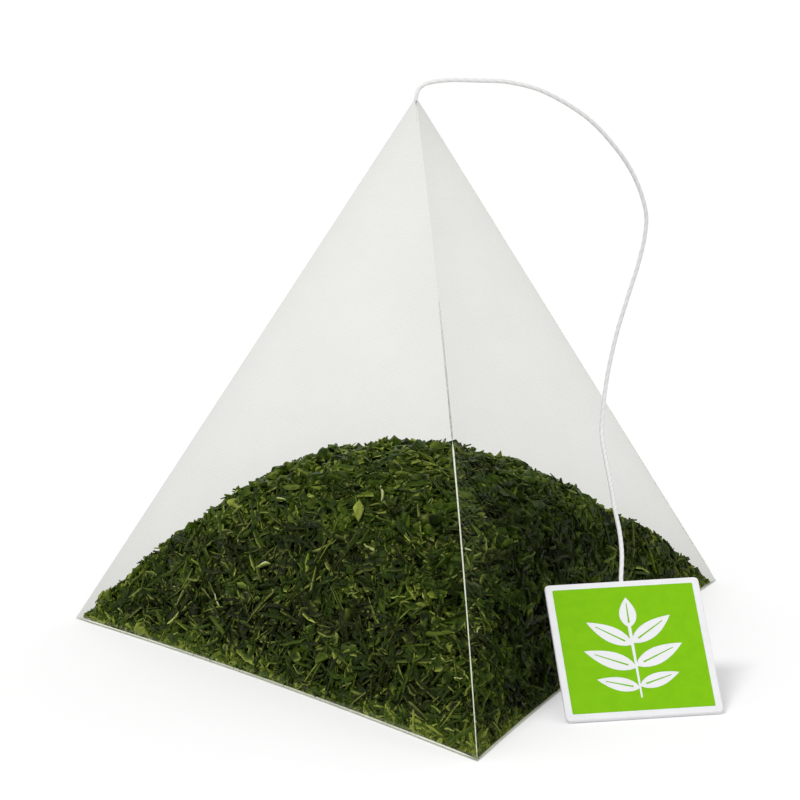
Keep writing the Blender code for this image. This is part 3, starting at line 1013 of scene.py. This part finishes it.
def wall_spots(random, count, name):
    """Places on one wall or the bottom where the tea lies against it, and the way out there."""
    shares = random.dirichlet((1, 1, 1), count * 8)
    points = filled_shape(shares @ np.stack(FACES[name][:3]))
    points = points[points[:, 2] < heap_top(points[:, 0], points[:, 1]) - 0.3 * MM][:count]
    normal = np.array([0, 0, -1.0]) if name == "bottom" else OUTWARDS[name]
    return points, np.repeat(normal[None], len(points), 0)


def rim_spots(random, count):
    """Places in the low wedge along the three edges of the bottom, the way out there, and along the edge."""
    points, ways, edges = [], [], []
    for a, b in ((LEFT, FRONT), (FRONT, RIGHT), (RIGHT, LEFT)):
        share = random.uniform(0.015, 0.985, count)[:, None]
        inward = -unit(a + b)
        spots = filled_shape(a + (b - a) * share) + inward * random.uniform(0.2, 1.1, count)[:, None] * MM
        spots[:, 2] = random.uniform(0.05, 1.2, count) * MM
        points.append(spots)
        ways.append(np.repeat(-inward[None], count, 0))
        edges.append(np.repeat((b - a)[None], count, 0))
    return np.concatenate(points), np.concatenate(ways), np.concatenate(edges)


def far_share(points):
    """0 over the front of the heap, rising to 1 at its middle and behind."""
    return np.clip(points[:, 1] / (9 * MM) + 1, 0, 1)


def laid(kind, random, centres, normals, lean, along=None, size=1.0, shine=1.0, paler=0.0, rise=0.0):
    """Pieces of one kind at their places, as points, triangles, tone with painted light and shade, and painted
    highlight.
    """
    count = len(centres)
    local, faces, ridge = kind(random, count, size)
    ridge *= shine
    axes = np.stack(basis(random, normals, lean * random.uniform(0.4, 1.4, count), along), 1)
    points = centres[:, None] + np.einsum("npk,nkc->npc", local, axes)
    points = settled(points, random.uniform(0.03, 0.2, count) * MM, random.uniform(0.0, 0.45, count) * MM + rise)
    tone = random.normal(0.215, 0.11, count)
    pick = random.uniform(0, 1, count)
    tone = np.where(pick < 0.13, random.normal(0.48, 0.1, count), tone)
    tone = np.where(pick < 0.012, random.normal(0.75, 0.1, count), tone)
    # Painted light: leaves near the floor are paler, less so on the shaded right, and leaves near the summit are paler
    low = np.exp(-centres[:, 2] / (0.75 * MM)) * (np.abs(normals[:, 2]) < 0.9)
    high = np.clip(centres[:, 2] / HEAP_HEIGHT - 0.75, 0, 0.25)
    x, y, z = centres.T / MM
    # Painted light and shade: broad patches of paler and darker leaves, with stronger and weaker painted highlights
    patchy = np.sin(x / 1.4 + 1) * np.sin(y / 1.7 + z / 1.2 + 2)
    shade = np.clip((centres[:, 0] / MM - 3) / 2, 0, 1) * (1 - far_share(centres))
    tone = np.clip(tone + paler + 0.18 * patchy + (0.75 - 0.35 * shade) * low + 0.6 * high - 0.08 * shade, 0, 1)
    ridge *= (0.97 + 0.14 * patchy[:, None]) * (1 - 0.45 * shade[:, None])
    kept = well_placed(points, rise)
    points, tone, ridge = points[kept], tone[kept], ridge[kept]
    each = points.shape[1]
    offsets = np.arange(len(points))[:, None, None] * each
    return points.reshape(-1, 3), (faces[None] + offsets).reshape(-1, 3), np.repeat(tone, each), ridge.ravel()


def make_layer(name, parts, material):
    points, triangles, tone, ridge = join(parts)
    layer = object_from(name, points, triangles, material, smooth=False, tone=tone, ridge=ridge)
    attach(layer, "root")


TOP_PARTS = {"top_front": (-0.036, -0.002), "top_back": (-0.002, 0.020)}
SIDE_SHINE = {"right": 0.8}
# Painted light and shade for each wall's leaves: a set shift in tone, mostly darker, and how much paler they get just
# under the heap's top
SIDE_LIGHT_AND_SHADE = {"left": -0.125, "right": 0.01, "back": -0.05, "bottom": -0.05}
SIDE_RIM_LIGHT = {"left": 0.4, "right": 0.1, "back": 0.15, "bottom": 0}


def make_leaves(glossy, dull):
    """The tea that can be seen, piece by piece: over the heap's top and against each wall and the bottom."""
    for seed, (name, amounts) in enumerate(LEAF_COUNTS.items()):
        random = np.random.RandomState(21 + seed)
        parts = []
        shine = SIDE_SHINE.get(name, 1)
        batches = [(kind, amount, 1.05, 0.22, 1.0, 0) for kind, amount in zip((needles, flakes, crumbs), amounts)]
        batches.append((needles, SURFACE_NEEDLES[name], 0.35, 0.12, 1.2, 0))
        batches.append((crumbs, LUMP_COUNTS[name], 0.2, 0.3, 2.1, 0.35 * MM))
        for kind, amount, deepest, lean, size, rise in batches:
            if name in TOP_PARTS:
                centres, normals = top_spots(random, amount, *TOP_PARTS[name])
                # Painted light: over the top, leaves towards the back and on the flanks are paler
                flank = np.clip((np.abs(centres[:, 0]) / MM - 7) / 9, 0, 1)
                paler = far_share(centres) * (0.06 + 0.24 * flank)
            else:
                centres, normals = wall_spots(random, amount, name)
                # Painted light and shade on the walls: a set shift for each wall, and paler leaves just under the
                # heap's top
                below = heap_top(centres[:, 0], centres[:, 1]) - centres[:, 2]
                paler = SIDE_LIGHT_AND_SHADE[name] + SIDE_RIM_LIGHT[name] * np.exp(-below / (1.5 * MM))
            depth = random.uniform(0.1, deepest, len(centres)) * MM
            centres = centres - normals * depth[:, None]
            parts.append(laid(kind, random, centres, normals, lean, size=size, shine=shine, paler=paler, rise=rise))
        make_layer(f"leaves_{name}", parts, dull if name == "right" else glossy)
    random = np.random.RandomState(41)
    parts = [laid(crumbs, random, *rim_spots(random, RIM_COUNTS[1])[:2], 0.3, size=0.8)]
    centres, normals, along = rim_spots(random, RIM_COUNTS[0])
    along = along + random.normal(0, 0.02, along.shape)
    parts.append(laid(needles, random, centres, normals, 0.15, along, size=0.82))
    make_layer("leaves_rim", parts, glossy)


def core_material():
    material, tree = material_of("tea_core_shade_and_light")
    where = node(tree, "TexCoord").outputs["Object"]
    grain = node(tree, "TexVoronoi", {"Vector": where, "Scale": 2600.0}).outputs["Distance"]
    # Painted shade: nearly black green where the core shows between the leaves
    dark = blend_colours(tree, span(tree, grain, 0.1, 0.6), rgb(8, 13, 2), rgb(26, 36, 9))
    # Painted light: a paler band near the floor
    pale = blend_colours(tree, span(tree, grain, 0.1, 0.6), rgb(78, 92, 26), rgb(122, 136, 56))
    height = node(tree, "SeparateXYZ", {"Vector": where}).outputs["Z"]
    colour = blend_colours(tree, span(tree, height, 0.5 * MM, 1.6 * MM), pale, dark)
    bump = node(tree, "Bump", {"Height": grain, "Distance": 0.0003, "Strength": 0.8})
    shader = node(tree, "BsdfPrincipled", {"Base Color": colour, "Roughness": 0.8, "Normal": bump.outputs[0]})
    shader.inputs["Specular IOR Level"].default_value = 0.05
    finish_material(tree, shader.outputs[0])
    return material


def make_core():
    """The heap's closed inside, under the leaves that are drawn one by one. Its colour is painted shade where it shows
    between them, and painted light near the floor.
    """
    parts = []
    for a, b, apex, *_ in FACES.values():
        points, triangles = triangle_grid(a, b, apex, 48)
        parts.append((filled_shape(points), triangles))
    points, triangles = join(parts)
    inset = np.interp(points[:, 2], (0.2 * MM, 0.8 * MM, 1.8 * MM), (0.15 * MM, 0.7 * MM, 0.95 * MM))
    points = settled(points[:, None], inset, np.full(len(points), -0.8 * MM))[:, 0]
    from_middle = points[:, :2] - HEAP_MIDDLE
    reach = np.hypot(from_middle[:, 0], from_middle[:, 1] / HEAP_STRETCH)
    points[:, :2] = HEAP_MIDDLE + from_middle * np.minimum(1, 0.98 * HEAP_RADIUS / reach)[:, None]
    core = object_from("tea_core", points, triangles, core_material())
    weld = core.modifiers.new("weld", "WELD")
    weld.merge_threshold = 0.01 * MM
    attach(core, "root")
    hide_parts("tea_leaves")


bpy.context.scene.view_settings.view_transform = "Standard"
make_camera()
make_light()
make_floor()
thread, thread_path = make_thread()
tag_pieces = make_tag()
make_pouch()
make_seams()
make_leaves(leaf_material("tea_leaf", 0.09), leaf_material("tea_leaf_dull", 0.03))
make_core()
